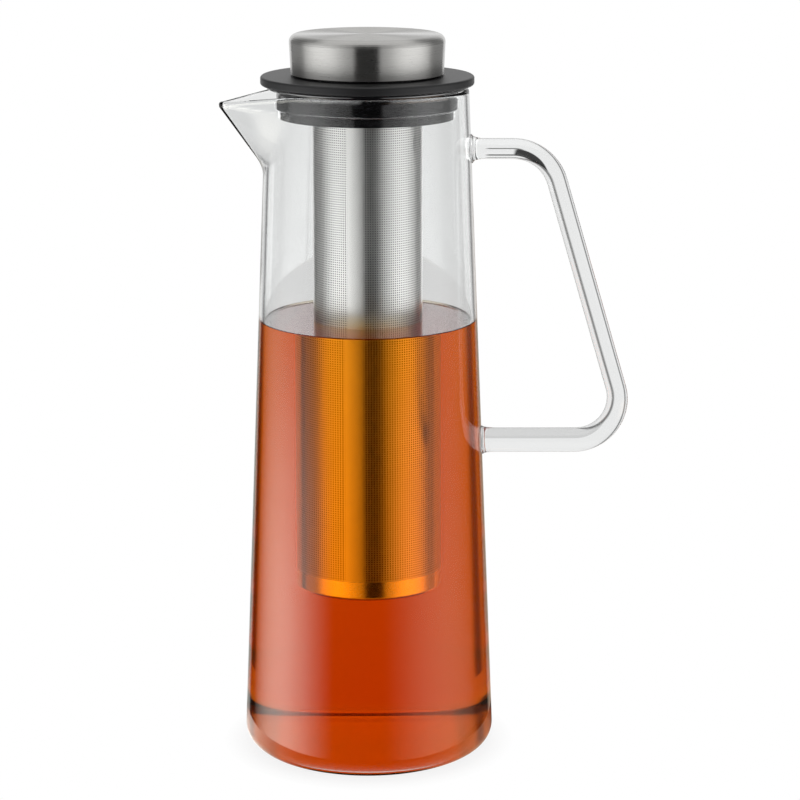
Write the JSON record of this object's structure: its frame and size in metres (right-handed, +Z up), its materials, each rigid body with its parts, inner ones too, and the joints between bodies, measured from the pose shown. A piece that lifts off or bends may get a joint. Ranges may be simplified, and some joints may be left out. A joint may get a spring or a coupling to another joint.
{
  "type": "infuser pitcher",
  "caption": "Tall tapered glass pitcher with a pulled pouring lip, a bent glass rod handle, a black lid with a brushed steel cap, and a hanging steel tube infuser.",
  "frame": {"origin": "centre of the jug's flat base, on the surface it stands on", "axes": "+Z up along the jug's axis, pouring lip towards -X, handle towards +X"},
  "size_m": [0.1681, 0.105, 0.3],
  "materials": {
    "glass": "clear borosilicate glass, fire polished",
    "black_plastic": "satin moulded black",
    "silicone": "matt dark grey silicone",
    "bright_steel": "smooth drawn stainless sheet",
    "etched_steel": "stainless sheet with fine etched holes",
    "brushed_steel": "brushed round the axis"
  },
  "bodies": {
    "carafe": {"glass_body": "glass", "glass_handle": "glass"},
    "lid": {"lid_base": "black_plastic", "lid_seal": "silicone"},
    "infuser": {"infuser_rim": "bright_steel", "infuser_tube": "etched_steel", "infuser_cup": "bright_steel"},
    "cap": {"steel_cap": "brushed_steel", "cap_insert": "black_plastic", "cap_seal": "silicone"}
  },
  "joints": [
    {"name": "lid_lift", "type": "slide", "parent": "carafe", "child": "lid", "axis": [0, 0, 1], "range_m": [0, 0.225]},
    {"name": "infuser_lift", "type": "slide", "parent": "lid", "child": "infuser", "axis": [0, 0, 1], "range_m": [0, 0.23]},
    {"name": "cap_lift", "type": "slide", "parent": "infuser", "child": "cap", "axis": [0, 0, 1], "range_m": [0, 0.05]}
  ]
}
